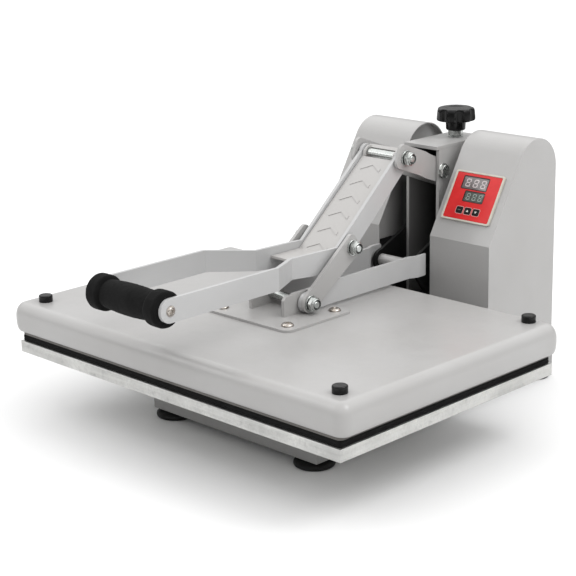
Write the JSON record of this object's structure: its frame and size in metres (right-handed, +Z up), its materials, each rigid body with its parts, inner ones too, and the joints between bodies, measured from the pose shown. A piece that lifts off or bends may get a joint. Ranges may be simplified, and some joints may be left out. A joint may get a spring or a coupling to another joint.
{
  "type": "heat press",
  "caption": "Clamshell heat press: wide heated platen on swing arms, toggle handle with foam grip, twin rounded towers, control panel and pressure knob.",
  "frame": {"origin": "on the bench plane, under the centre of the machine's overall footprint", "axes": "+Z up, -Y towards the operator (the handle end), +X to the operator's right (the side of the control panel)"},
  "size_m": [0.6196, 0.6817, 0.3819],
  "materials": {
    "paint": "light warm-grey powder coat, satin",
    "paint_warm": "light warm-grey powder coat, satin",
    "paint_dark": "mid-grey powder coat, satin",
    "black_paint": "black paint, matt",
    "zinc_steel": "zinc-plated steel, bright",
    "rubber": "moulded rubber, matt",
    "platen_aluminium": "machined aluminium edge, bright with streaks",
    "silicone": "silicone sponge sheet, matt",
    "heater_coating": "non-stick coating on cast aluminium, dark",
    "insulation_board": "mineral fibre board, matt",
    "black_plastic": "moulded plastic, satin",
    "button_plastic": "moulded plastic, matt",
    "foam": "dense foam grip, matt",
    "bezel_plastic": "pale moulded plastic, satin",
    "red_overlay": "printed polyester overlay, satin gloss",
    "display_upper": "display window, light grey",
    "display_lower": "display window, greenish grey",
    "switch_red": "red moulded plastic, gloss"
  },
  "bodies": {
    "frame": {"rubber_feet": "rubber", "foot_studs": "zinc_steel", "base_front_bar": "paint_dark", "base_side_rails": "paint_dark", "base_rear_bar": "paint_dark", "base_plate": "paint_dark", "platen_supports": "paint_dark", "support_bolts": "zinc_steel", "lower_platen": "platen_aluminium", "silicone_pad": "silicone", "column": "paint", "column_top_plate": "paint", "hinge_lugs": "paint", "left_tower": "paint", "right_tower": "paint", "left_inner_panel": "paint", "right_inner_panel": "paint", "inner_guards": "black_paint", "tower_screws": "zinc_steel", "panel_bezel": "bezel_plastic", "panel_overlay": "red_overlay", "display_upper": "display_upper", "display_lower": "display_lower", "controller_module": "black_plastic", "solid_state_relay": "black_plastic", "power_inlet": "black_plastic", "fuse_holder": "black_plastic", "switch_bezel": "black_plastic", "rocker_bolt": "zinc_steel"},
    "upper_platen": {"swing_arm_left": "paint", "swing_arm_right": "paint", "arm_cross_tube": "paint", "platen_bracket": "paint", "bracket_screws": "zinc_steel", "platen_pin": "zinc_steel", "platen_cover": "paint", "heat_plate": "heater_coating", "insulation": "insulation_board", "corner_caps": "black_plastic"},
    "pressure_rocker": {"strap_left": "paint", "strap_right": "paint", "trunnion": "zinc_steel", "top_pivot_rod": "zinc_steel"},
    "pressure_screw": {"pressure_screw": "zinc_steel", "screw_collar": "zinc_steel", "pressure_knob": "black_plastic"},
    "handle": {"handle_bar_left": "paint", "handle_bar_right": "paint", "chevron_plate": "paint_warm", "handle_tube": "zinc_steel", "foam_grip": "foam", "grip_screws": "zinc_steel", "knee_studs": "zinc_steel"},
    "toggle_link": {"toggle_link_left": "paint", "toggle_link_right": "paint", "knee_nuts": "zinc_steel"},
    "button_1": {"button_1": "button_plastic"},
    "button_2": {"button_2": "button_plastic"},
    "button_3": {"button_3": "button_plastic"},
    "power_switch": {"power_switch": "switch_red"}
  },
  "joints": [
    {"name": "platen_lift", "type": "hinge", "parent": "frame", "child": "upper_platen", "pos_m": [0, 0.1685, 0.1754], "axis": [-1, 0, 0], "range_deg": [0, 45]},
    {"name": "pressure_rocker_tilt", "type": "hinge", "parent": "frame", "child": "pressure_rocker", "pos_m": [0, 0.23101, 0.30301], "axis": [1, 0, 0], "range_deg": [-1, 1]},
    {"name": "pressure_screw_turn", "type": "hinge", "parent": "frame", "child": "pressure_screw", "pos_m": [0, 0.2965, 0.34], "axis": [0, 0, 1], "range_deg": [-240, 240]},
    {"name": "handle_lever", "type": "hinge", "parent": "pressure_rocker", "child": "handle", "pos_m": [0, 0.1381, 0.3372], "axis": [-1, 0, 0], "range_deg": [0, 82.37]},
    {"name": "toggle_link_turn", "type": "hinge", "parent": "upper_platen", "child": "toggle_link", "pos_m": [0, -0.057, 0.1754], "axis": [1, 0, 0], "range_deg": [0, 92.42]},
    {"name": "button_1_press", "type": "slide", "parent": "frame", "child": "button_1", "axis": [0, 0.8564, -0.5163], "range_m": [0, 0.0005], "stiffness_N_per_m": 300, "springref_m": -0.0004},
    {"name": "button_2_press", "type": "slide", "parent": "frame", "child": "button_2", "axis": [0, 0.8564, -0.5163], "range_m": [0, 0.0005], "stiffness_N_per_m": 300, "springref_m": -0.0004},
    {"name": "button_3_press", "type": "slide", "parent": "frame", "child": "button_3", "axis": [0, 0.8564, -0.5163], "range_m": [0, 0.0005], "stiffness_N_per_m": 300, "springref_m": -0.0004},
    {"name": "power_switch_rock", "type": "hinge", "parent": "frame", "child": "power_switch", "pos_m": [0.116, 0.3299, 0.1], "axis": [1, 0, 0], "range_deg": [0, 16]}
  ],
  "couplings": [
    {"joint": "handle_lever", "follows": "platen_lift", "ratio": 1.8293},
    {"joint": "toggle_link_turn", "follows": "platen_lift", "ratio": 2.0528},
    {"joint": "pressure_screw_turn", "follows": "pressure_rocker_tilt", "ratio": -235.13}
  ]
}
